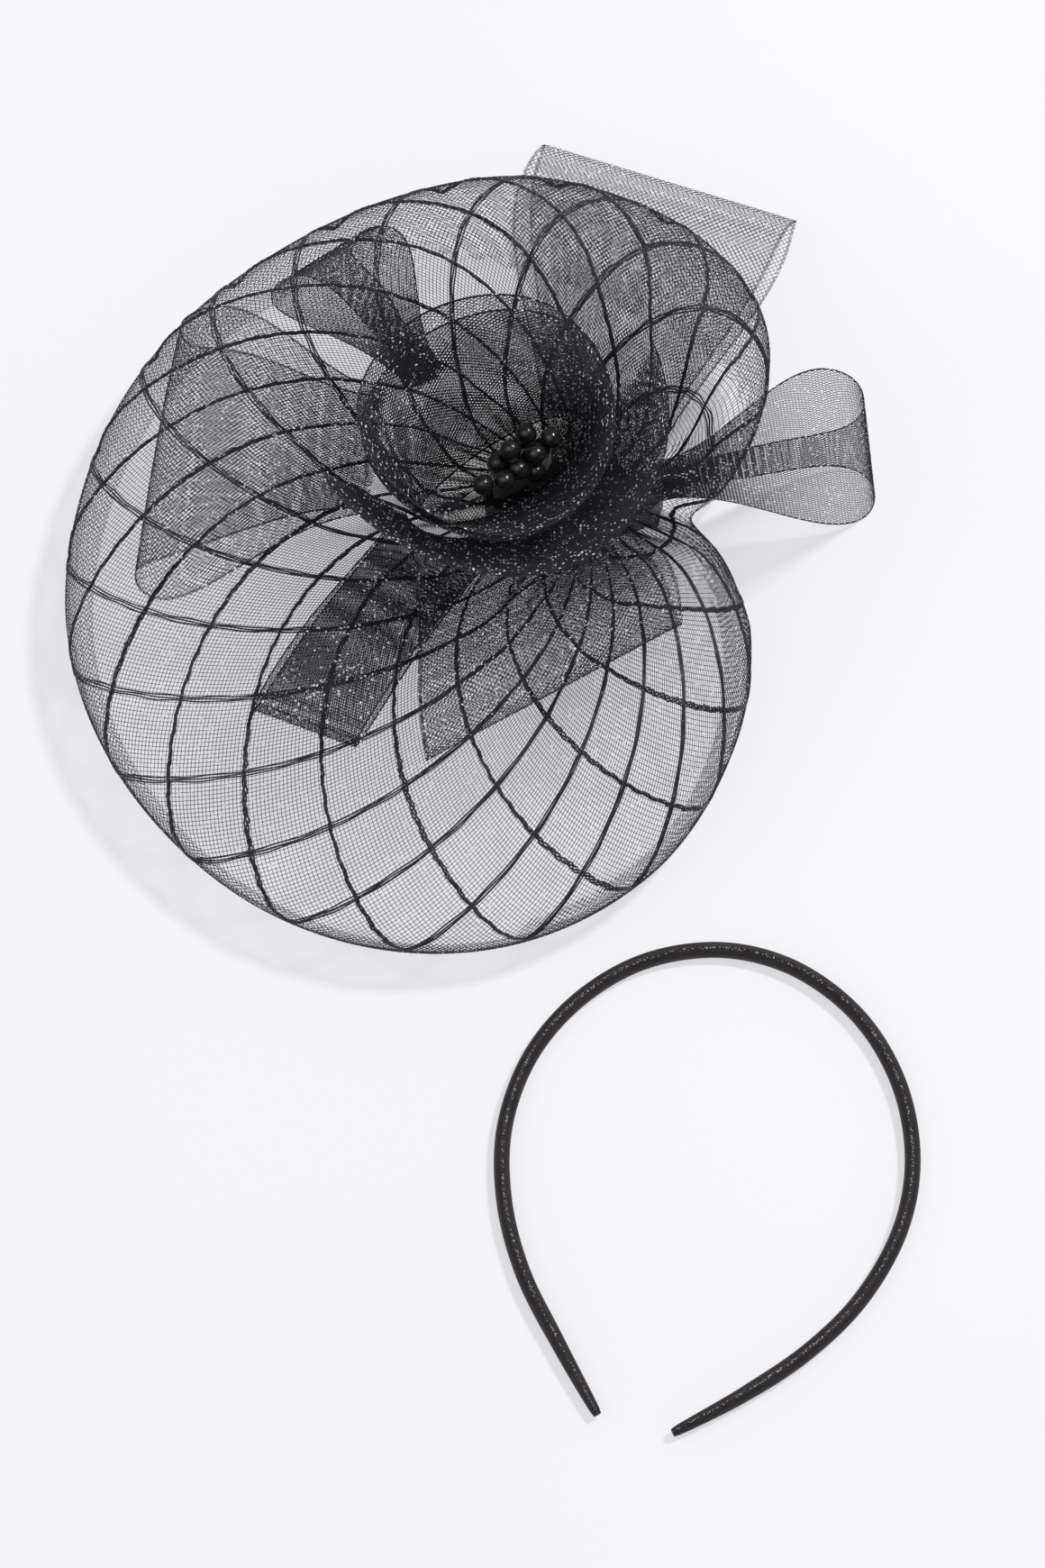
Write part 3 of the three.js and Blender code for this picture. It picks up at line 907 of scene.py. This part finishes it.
@dataclass
class WindowpaneDisc:
    """The disc: fine square net, crossed by two families of cords."""

    surface: DiscSurface
    net_pitch: float = 1.2 * MM
    net_radius: float = 0.096 * MM
    net_shift: float = 0.3 * MM
    cord_spacing: float = 33.5 * MM
    first_cord_turn: float = 238.4
    families: tuple = (
        CordFamily(CordKind.LADDER, slope=1.0, step=2.6 * MM, gauge=0.28 * MM, apart=0.7 * MM),
        CordFamily(CordKind.PLIED, slope=-1.0, step=1.25 * MM, gauge=0.34 * MM),
    )
    step: float = 5.5 * MM
    longest_front: float = 170 * MM
    longest_hem: float = 60 * MM

    def runs(self, starts: Grid, slope: float, step: float, sway: Callable | None = None) -> list[tuple]:
        """Traces threads that cross the rim at 45 degrees.

        Args:
            starts: Places where they cross the rim.
            slope: 1 or -1, the way that they lean.
            step: Length of a segment.
            sway: Sideways and upward offset by distance along the thread, if any.

        Returns:
            For each thread its front points and its hem points.
        """
        stride = step / math.sqrt(2.0)
        hem_steps = math.ceil(self.longest_hem / stride)
        front_steps = math.ceil(self.longest_front / stride)
        inward = np.arange(-hem_steps, front_steps + 1) * stride
        along = starts[:, None] + slope * inward[None, :]
        rise = 0.0
        if sway is not None:
            side, rise = sway(np.arange(len(starts))[:, None], inward[None, :] * math.sqrt(2.0))
            along = along + side * math.sqrt(2.0)
        points, inside = self.surface.cloth(along, np.broadcast_to(inward[None, :], along.shape))
        points[..., 2] += rise
        middle = int(np.argmin(np.abs(inward)))
        found = []
        for line, valid in zip(points, inside):
            outside = np.flatnonzero(~valid)
            low = outside[outside < middle].max(initial=-1) + 1
            high = outside[outside > middle].min(initial=len(inward))
            found.append((line[middle:high], line[low:middle + 1]))
        return found

    def build(self, net: bpy.types.Material, cord: bpy.types.Material) -> None:
        """Args:
            net: Material of the fine threads.
            cord: Material of the cords.
        """
        surface = self.surface
        count = round(surface.rim_length / (self.net_pitch * math.sqrt(2.0)))
        starts = np.arange(count) * surface.rim_length / count
        front = ThreadBundle("disc_net", self.net_radius)
        hem = ThreadBundle("disc_hem_net", self.net_radius)
        for slope in (1.0, -1.0):
            for upper, lower in self.runs(starts + slope * self.net_shift, slope, self.step):
                front.extend([upper])
                hem.extend([lower])
        pieces = [bundle.build(net, "windowpane_crin") for bundle in (front, hem)]
        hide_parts("disc")
        cords = self.build_cords(cord)

    def build_cords(self, material: bpy.types.Material) -> list[bpy.types.Object]:
        """Builds each family of cords as one piece.

        Args:
            material: Material of the cords.

        Returns:
            The mesh objects.
        """
        surface = self.surface
        count = round(surface.rim_length / self.cord_spacing)
        first = surface.along_rim(self.first_cord_turn)
        starts = first + np.arange(count) * surface.rim_length / count
        cords = []
        for family in self.families:
            bundle = ThreadBundle(family.piece, family.gauge)
            for strand in (-1, 0, 1):
                shifted = starts + strand * family.apart * math.sqrt(2.0)
                traced = self.runs(shifted, family.slope, family.step, family.sway(strand))
                bundle.extend(upper for upper, _ in traced)
            cords.append(bundle.build(material, "windowpane_crin"))
        return cords


# Points at which a ribbon's length is measured, and the segments and threads of its selvedge
LENGTH_POINTS = 801
SELVEDGE_STEP = 2.5 * MM
SELVEDGE_INSETS = (0.0, 0.35 * MM, 0.7 * MM)


@dataclass
class Ribbon:
    """One length of crin ribbon: a diamond net with a selvedge along both edges."""

    name: str
    rests_on: str
    held: str = "folded"
    pitch: float = 1.15 * MM
    radius: float = 0.098 * MM
    step: float = 3.4 * MM

    def point(self, along: Grid, across: Grid) -> Grid:
        """Points of the ribbon by shares of its length and width.

        Args:
            along: Shares of its length.
            across: Shares of its width.

        Returns:
            Points, with x, y and z on a last axis.
        """
        raise NotImplementedError

    def build(self, material: bpy.types.Material) -> bpy.types.Object:
        """Args:
            material: Material of the threads.

        Returns:
            The mesh object.
        """
        shares = np.linspace(0.0, 1.0, LENGTH_POINTS)
        walked = walk(self.point(shares, np.full_like(shares, 0.5)))
        bundle = ThreadBundle(self.name + "_net", self.radius)
        bundle.extend(self.net(shares, walked))
        bundle.extend(self.selvedges(shares, walked))
        piece = bundle.build(material, "crin_ribbon")
        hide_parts(self.name)
        return piece

    def net(self, shares: Grid, walked: Grid) -> list[Grid]:
        """Traces the threads that run slantwise from edge to edge.

        Args:
            shares: Shares of the ribbon's length.
            walked: Distance along the ribbon's middle at each share.

        Returns:
            The threads.
        """
        length = float(walked[-1])
        pieces = math.ceil(RIBBON_WIDTH * math.sqrt(2.0) / self.step)
        across = np.linspace(0.0, RIBBON_WIDTH, pieces + 1)
        threads = []
        for slope in (1.0, -1.0):
            first = -RIBBON_WIDTH if slope > 0 else 0.0
            starts = np.arange(first, first + length + RIBBON_WIDTH, self.pitch * math.sqrt(2.0))
            along = starts[:, None] + slope * across[None, :]
            width_shares = np.broadcast_to(across / RIBBON_WIDTH, along.shape)
            points = self.point(np.interp(along, walked, shares), width_shares)
            inside = (along >= 0.0) & (along <= length)
            threads.extend(line[valid] for line, valid in zip(points, inside))
        return threads

    def selvedges(self, shares: Grid, walked: Grid) -> list[Grid]:
        """Traces the threads that run along both edges.

        Args:
            shares: Shares of the ribbon's length.
            walked: Distance along the ribbon's middle at each share.

        Returns:
            The threads.
        """
        length = float(walked[-1])
        edge = np.linspace(0.0, 1.0, math.ceil(length / SELVEDGE_STEP) + 1)
        places = np.interp(edge * length, walked, shares)
        insets = [inset / RIBBON_WIDTH for inset in SELVEDGE_INSETS]
        sides = [side for inset in insets for side in (inset, 1.0 - inset)]
        return [self.point(places, np.full_like(places, side)) for side in sides]


@dataclass
class Swirl(Ribbon):
    """Ribbon standing on edge in a ring: lengths as shares of its width, turns in degrees.

    The coil is how much wider the head winds along the ribbon's length. The tuck is how much of the
    lower edge is folded inwards on the disc in the second half of the length.
    """

    disc: DiscSurface | None = None
    foot: tuple = (-0.26, 0.045)
    foot_long: float = 0.34
    foot_wide: float = 0.11
    foot_turn: float = 35.0
    head: tuple = (-0.3, -0.175)
    head_long: float = 0.42
    head_wide: float = 0.4
    flare: float = 0.0
    coil: float = 0.0
    foot_coil: float = 1 / 3
    tuck: float = 0.0
    tuck_start: tuple = (0.45, 0.55)
    tightest_foot: float = 0.02
    turns: tuple = (30.0, -322.0)

    def point(self, along: Grid, across: Grid) -> Grid:
        """Points of the ribbon by shares of its length and width.

        Args:
            along: Shares of its length.
            across: Shares of its width.

        Returns:
            Points, with x, y and z on a last axis.
        """
        turn = self.turns[0] + (self.turns[1] - self.turns[0]) * along
        local, tilt = np.radians(turn - self.foot_turn), math.radians(self.foot_turn)
        grown = self.coil * along
        tucked = self.tuck * smoothstep(along, *self.tuck_start)
        widened = self.foot_coil * grown - np.clip(tucked - across, 0.0, None)
        long = np.maximum(self.foot_long + widened, self.tightest_foot) * np.cos(local)
        wide = np.maximum(self.foot_wide + widened, self.tightest_foot) * np.sin(local)
        x = (long * math.cos(tilt) - wide * math.sin(tilt) + self.foot[0]) * RIBBON_WIDTH
        y = (long * math.sin(tilt) + wide * math.cos(tilt) + self.foot[1]) * RIBBON_WIDTH
        z = self.disc.ground(x, y) + GAP + FACET_SAG + CLOTH / 2
        flare = 1.0 + self.flare * along ** 2
        head_x = self.head[0] + (self.head_long * flare + grown) * np.cos(np.radians(turn))
        head_y = self.head[1] + (self.head_wide * flare + grown) * np.sin(np.radians(turn))
        out_x = head_x * RIBBON_WIDTH - x
        out_y = head_y * RIBBON_WIDTH - y
        sideways = np.minimum(np.hypot(out_x, out_y), RIBBON_WIDTH)
        rise = np.sqrt(RIBBON_WIDTH ** 2 - sideways ** 2)
        up = np.clip(across - tucked, 0.0, None)
        return np.stack([x + out_x * up, y + out_y * up, z + rise * up], axis=-1)


# Makes a teardrop section as wide as the loop's opening where its two layers are furthest apart
TEARDROP_WIDTH = 1.3


@dataclass
class Loop(Ribbon):
    """A ribbon folded back on itself: places and lengths as shares of its width."""

    disc: DiscSurface | None = None
    root: tuple = (0.0, 0.0)
    heading: float = 0.0
    length: float = 0.8
    opening: float = 0.2
    pinch: float = 0.5
    tip: float = 1.0

    def teardrop(self, along: Grid) -> tuple:
        """Place round the loop's section.

        Args:
            along: Shares of the ribbon's length.

        Returns:
            How far out, how far off the middle, the middle's height, the spread of the width, and
            how much the place belongs to the lower layer.
        """
        angle = math.pi * along
        out = np.sin(angle)
        root_gap = (CLOTH + GAP) / RIBBON_WIDTH
        off = (TEARDROP_WIDTH * self.opening * out ** 2 + root_gap) * np.cos(angle)
        middle = root_gap + self.opening / 2 * smoothstep(out, 0.0, 0.8)
        spread = self.pinch + (self.tip - self.pinch) * smoothstep(out, 0.0, 0.9)
        return out, off, middle, spread, np.maximum(np.cos(angle), 0.0)

    def support(self, x: Grid, y: Grid) -> Grid:
        """Height of what the loop lies on, with the clearance to it.

        Args:
            x: Places along the x axis.
            y: Places along the y axis.

        Returns:
            The heights.
        """
        if self.rests_on == "disc_net":
            return self.disc.ground(x, y) + GAP + FACET_SAG
        return 0.0 * x


@dataclass
class LyingLoop(Loop):
    """A loop that lies flat."""

    across_turn: float = 90.0
    level: float = 0.0
    fan: float = 0.0

    def point(self, along: Grid, across: Grid) -> Grid:
        """Points of the ribbon by shares of its length and width.

        Args:
            along: Shares of its length.
            across: Shares of its width.

        Returns:
            Points, with x, y and z on a last axis.
        """
        out, off, middle, spread, lower = self.teardrop(along)
        far = out * self.length
        wide = (across - 0.5) * spread + self.fan * lower * out
        heading, sideways = math.radians(self.heading), math.radians(self.across_turn)
        x = (self.root[0] + far * math.cos(heading) + wide * math.cos(sideways)) * RIBBON_WIDTH
        y = (self.root[1] + far * math.sin(heading) + wide * math.sin(sideways)) * RIBBON_WIDTH
        z = self.support(x, y) + CLOTH / 2 + (self.level + middle - off) * RIBBON_WIDTH
        return np.stack([x, y, z], axis=-1)


@dataclass
class StandingLoop(Loop):
    """A loop that stands on edge."""

    root_foot: float = 0.0
    lean: float = 0.0
    lean_to: float = 0.0

    def point(self, along: Grid, across: Grid) -> Grid:
        """Points of the ribbon by shares of its length and width.

        Args:
            along: Shares of its length.
            across: Shares of its width.

        Returns:
            Points, with x, y and z on a last axis.
        """
        out, off, _middle, spread, _lower = self.teardrop(along)
        heading, lean, lean_to = (math.radians(v) for v in (self.heading, self.lean, self.lean_to))
        far = out * self.length
        x = (self.root[0] + far * math.cos(heading) - off * math.sin(heading)) * RIBBON_WIDTH
        y = (self.root[1] + far * math.sin(heading) + off * math.cos(heading)) * RIBBON_WIDTH
        rise = self.root_foot * (1.0 - smoothstep(out, 0.0, 1.0))
        z = self.support(x, y) + GAP + rise * RIBBON_WIDTH
        up = across * spread * RIBBON_WIDTH
        return np.stack([
            x + up * math.sin(lean) * math.cos(lean_to),
            y + up * math.sin(lean) * math.sin(lean_to),
            z + up * math.cos(lean),
        ], axis=-1)


def ribbons(disc: DiscSurface) -> list[Ribbon]:
    """Lists every ribbon of the fascinator.

    Args:
        disc: The disc that most of them lie on.

    Returns:
        The ribbons, in the order that they are sewn on.
    """
    return [
        LyingLoop(
            "loop_back", "base", disc=disc, root=(0.0748, 0.148), heading=76, length=1.21, opening=0.1,
            pinch=0.4, across_turn=-19, fan=-0.14, radius=0.0875 * MM, step=2.6 * MM,
        ),
        StandingLoop(
            "loop_right", "base", disc=disc, root=(0.2998, -0.0853), heading=12, length=0.82,
            opening=0.22, pinch=0.3, root_foot=0.325, lean=9, lean_to=215, pitch=1.3 * MM,
            radius=0.0935 * MM,
        ),
        LyingLoop(
            "loop_left", "disc_net", disc=disc, root=(-0.7, 0.04), heading=183, length=0.77, opening=0.18,
            pinch=0.45, across_turn=83, fan=-0.16,
        ),
        StandingLoop(
            "loop_upper_left", "disc_net", disc=disc, root=(-0.56, 0.3), heading=143.5, length=0.64,
            opening=0.16, pinch=0.3, lean=26, lean_to=-41, pitch=1.3 * MM, radius=0.104 * MM,
        ),
        LyingLoop(
            "loop_lower_left", "disc_net", disc=disc, root=(-0.5, -0.31), heading=240, length=0.87,
            opening=0.07, pinch=0.35, tip=0.38, across_turn=-22, radius=0.115 * MM,
        ),
        LyingLoop(
            "front_roll", "disc_net", disc=disc, root=(-0.19, -0.33), heading=280, length=0.66, opening=0.2,
            pinch=0.85, across_turn=30, level=0.083,
        ),
        Swirl(
            "swirl_inner", "disc_net", held="gathered", pitch=1.2 * MM, radius=0.13 * MM, step=5 * MM,
            disc=disc, coil=0.06, tuck=0.17, turns=(30.0, -682.0),
        ),
        Swirl(
            "swirl_outer", "disc_net", held="gathered", pitch=1.15 * MM, radius=0.14 * MM, step=4.5 * MM,
            disc=disc, foot_long=0.4, foot_wide=0.185, head=(-0.275, -0.15), head_long=0.58,
            head_wide=0.55, flare=0.12, turns=(24.0, -156.0),
        ),
    ]


@dataclass
class BeadCluster:
    """The round beads in the swirl."""

    diameter: float = BEAD_DIAMETER

    def build(self, material: bpy.types.Material) -> None:
        """Builds each bead.

        Args:
            material: Material of the beads.
        """
        step = self.diameter + GAP
        for number, (x, y, z) in enumerate(BEADS, start=1):
            made = bmesh.new()
            bmesh.ops.create_uvsphere(made, u_segments=32, v_segments=20, radius=self.diameter / 2)
            turn = Matrix.Rotation(0.9 * number, 4, "Z") @ Matrix.Rotation(0.7 + 0.5 * number, 4, "X")
            place = (CLUSTER[0] + x * step, CLUSTER[1] + y * step, BEAD_HEIGHT + z * step)
            bmesh.ops.transform(made, matrix=Matrix.Translation(place) @ turn, verts=made.verts)
            bead = finish_mesh(f"round_bead_{number}", made, material)
            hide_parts(f"bead_{number}")
            log.info("%s: %.1f mm", bead.name, self.diameter / MM)


def finish_mesh(
    name: str, made: bmesh.types.BMesh, material: bpy.types.Material
) -> bpy.types.Object:
    """Turns a mesh under construction into a smooth piece that rides on the root.

    Args:
        name: Name of the piece.
        made: The mesh under construction, which is freed.
        material: Its material.

    Returns:
        The object.
    """
    for face in made.faces:
        face.smooth = True
    mesh = bpy.data.meshes.new(name)
    made.to_mesh(mesh)
    made.free()
    return add_piece(name, mesh, material)


@dataclass
class Headband:
    """Slim band bent round, slimmer at its tips, lying on the floor."""

    thickness: float = BAND_THICKNESS
    height: float = BAND_HEIGHT
    tip: float = 0.5
    taper: float = 0.08
    rings: int = 240
    sides: int = 28

    def centre_line(self) -> Grid:
        """Even points along the centre line.

        Returns:
            Points, with x and y on a last axis.
        """
        table = Table(("x", "y"), [
            (
                BAND_MIDDLE[0] + reach * BAND_REACH * math.cos(math.radians(turn)),
                BAND_MIDDLE[1] + reach * BAND_REACH * math.sin(math.radians(turn)),
            )
            for turn, reach in BAND_LINE
        ])
        places = np.linspace(0.0, table.count - 1, 2000)
        line = np.column_stack([table.by_row(key, places) for key in ("x", "y")])
        walked = walk(line)
        even = np.linspace(0.0, walked[-1], self.rings + 1)
        return np.column_stack([np.interp(even, walked, line[:, i]) for i in (0, 1)])

    def build(self, material: bpy.types.Material) -> None:
        """Sweeps the band along its centre line, maps it and closes its tips.

        Args:
            material: Material of the band.
        """
        line = self.centre_line()
        length = float(walk(line)[-1])
        made = bmesh.new()
        made.loops.layers.uv.new("UVMap")
        self.lay_map(made, self.sweep(made, line), length)
        bmesh.ops.holes_fill(made, edges=[edge for edge in made.edges if edge.is_boundary], sides=0)
        bmesh.ops.recalc_face_normals(made, faces=made.faces)
        band = finish_mesh("headband_satin", made, material)
        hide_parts("headband")
        log.info("%s: %.3f m long", band.name, length)

    def sweep(self, made: bmesh.types.BMesh, line: Grid) -> list[list]:
        """Extrudes an oval ring from point to point.

        Args:
            made: The mesh under construction.
            line: Even points along the centre line.

        Returns:
            The ring of vertices at each point.
        """
        tangent = np.gradient(line, axis=0)
        tangent /= np.linalg.norm(tangent, axis=1)[:, None]
        ring = bmesh.ops.create_circle(made, segments=self.sides, radius=0.5)["verts"]
        edges = list({edge for vert in ring for edge in vert.link_edges})
        self.seat(ring, line[0], tangent[0], 0.0)
        rows = [ring]
        for number in range(1, self.rings + 1):
            grown = bmesh.ops.extrude_edge_only(made, edges=edges)["geom"]
            ring = [item for item in grown if isinstance(item, bmesh.types.BMVert)]
            edges = [item for item in grown if isinstance(item, bmesh.types.BMEdge)]
            self.seat(ring, line[number], tangent[number], number / self.rings)
            rows.append(ring)
        return rows

    def lay_map(self, made: bmesh.types.BMesh, rows: list[list], length: float) -> None:
        """Maps the satin in metres, u along the band and v round it.

        Args:
            made: The mesh under construction.
            rows: The rings of vertices from tip to tip.
            length: Length of the band.
        """
        uv = made.loops.layers.uv["UVMap"]
        place = {vert: (row, i) for row, verts in enumerate(rows) for i, vert in enumerate(verts)}
        around = math.pi * (self.thickness + self.height) / 2
        for face in made.faces:
            columns = [place[loop.vert][1] for loop in face.loops]
            wraps = max(columns) - min(columns) > 1
            for loop in face.loops:
                row, column = place[loop.vert]
                if wraps and column == 0:
                    column = self.sides
                loop[uv].uv = (row / self.rings * length, column / self.sides * around)

    def seat(self, ring: list, middle: Grid, tangent: Grid, at: float) -> None:
        """Moves a ring of vertices to its place along the band.

        Args:
            ring: The vertices, in order round the section.
            middle: Point of the centre line.
            tangent: Direction of the centre line.
            at: Share of the band's length.
        """
        from_tip = min(at, 1.0 - at) / self.taper
        size = self.tip + (1.0 - self.tip) * math.sqrt(min(from_tip, 1.0))
        side = Vector((-tangent[1], tangent[0], 0.0))
        for i, vert in enumerate(ring):
            angle = 2.0 * math.pi * i / len(ring)
            vert.co = (
                Vector((middle[0], middle[1], self.height / 2))
                + side * (math.cos(angle) * self.thickness * size / 2)
                + Vector((0, 0, math.sin(angle) * self.height * size / 2))
            )


@dataclass
class Studio:
    """Plain pale floor, soft lights and the camera."""

    floor_half: float = 6.0
    sky: tuple = (0.93, 0.95, 1.0, 1.0)
    sky_strength: float = 0.55
    camera_place: tuple = (-0.0149, -0.4448, 0.9899)
    camera_aim: tuple = (-0.0149, -0.0845, 0.0)
    lens: float = 85.0

    def build(self, floor_material: bpy.types.Material) -> None:
        """Sets up everything round the fascinator.

        Args:
            floor_material: Material of the floor.
        """
        self.lay_floor(floor_material)
        self.light("key", (0.95, 0.55, 1.75), size=0.25, power=34.0)
        self.light("fill", (-1.2, -0.5, 1.5), size=1.6, power=9.0)
        self.light_sky()
        self.set_camera()

    def lay_floor(self, material: bpy.types.Material) -> None:
        """Lays the plain floor.

        Args:
            material: Material of the floor.
        """
        made = bmesh.new()
        bmesh.ops.create_grid(made, x_segments=1, y_segments=1, size=self.floor_half)
        mesh = bpy.data.meshes.new("floor")
        made.to_mesh(mesh)
        made.free()
        mesh.materials.append(material)
        floor = bpy.data.objects.new("floor", mesh)
        bpy.context.scene.collection.objects.link(floor)

    def light_sky(self) -> None:
        """Lights the scene evenly from all round."""
        world = bpy.data.worlds.new("studio")
        world.use_nodes = True
        background = world.node_tree.nodes["Background"]
        background.inputs["Color"].default_value = self.sky
        background.inputs["Strength"].default_value = self.sky_strength
        bpy.context.scene.world = world
        bpy.context.scene.view_settings.view_transform = "Standard"

    def set_camera(self) -> None:
        """Places the camera at the photograph's viewing angle."""
        camera = bpy.data.cameras.new("camera")
        camera.lens = self.lens
        camera.sensor_width = 36.0
        camera.clip_start = 0.01
        camera.clip_end = 20.0
        holder = bpy.data.objects.new("camera", camera)
        holder.location = self.camera_place
        aim = Vector(self.camera_aim) - Vector(self.camera_place)
        holder.rotation_euler = aim.to_track_quat("-Z", "Y").to_euler()
        bpy.context.scene.collection.objects.link(holder)
        bpy.context.scene.camera = holder

    @staticmethod
    def light(name: str, place: tuple, size: float, power: float) -> None:
        """Adds a soft square light that points at the fascinator.

        Args:
            name: Name of the light.
            place: Its place.
            size: Its side.
            power: Its power in watts.
        """
        lamp = bpy.data.lights.new(name, "AREA")
        lamp.size = size
        lamp.energy = power
        holder = bpy.data.objects.new(name, lamp)
        holder.location = place
        holder.rotation_euler = (-Vector(place)).to_track_quat("-Z", "Y").to_euler()
        bpy.context.scene.collection.objects.link(holder)


def dress_base(material: bpy.types.Material) -> None:
    """Gives the base its felt.

    Args:
        material: The felt.
    """
    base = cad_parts["base"]
    base.data.materials.clear()
    base.data.materials.append(material)
    log.info("base: dressed in %s", material.name)


def main() -> None:
    """Builds the fascinator, its headband and the studio."""
    logging.basicConfig(level=logging.INFO, format="%(name)s: %(message)s")
    Studio().build(FloorFinish().material())
    surface = DiscSurface()
    # The glint colours below are painted highlights: pale spots in the threads' base colour
    net = ThreadFinish("fine_crin", painted_glint=(0.5, 0.51, 0.58), painted_glint_share=0.2)
    cord = ThreadFinish(
        "crin_cord", black=(0.008, 0.008, 0.012), grey=(0.032, 0.031, 0.045), painted_glint=(0.12, 0.12, 0.145)
    )
    WindowpaneDisc(surface).build(net.material(), cord.material())
    ribbon_thread = ThreadFinish("ribbon_crin", painted_glint=(0.93, 0.93, 0.97), painted_glint_share=0.15).material()
    for ribbon in ribbons(surface):
        ribbon.build(ribbon_thread)
    BeadCluster().build(BeadFinish().material())
    dress_base(FeltFinish().material())
    Headband().build(SatinFinish().material())


if __name__ == "__main__":
    main()
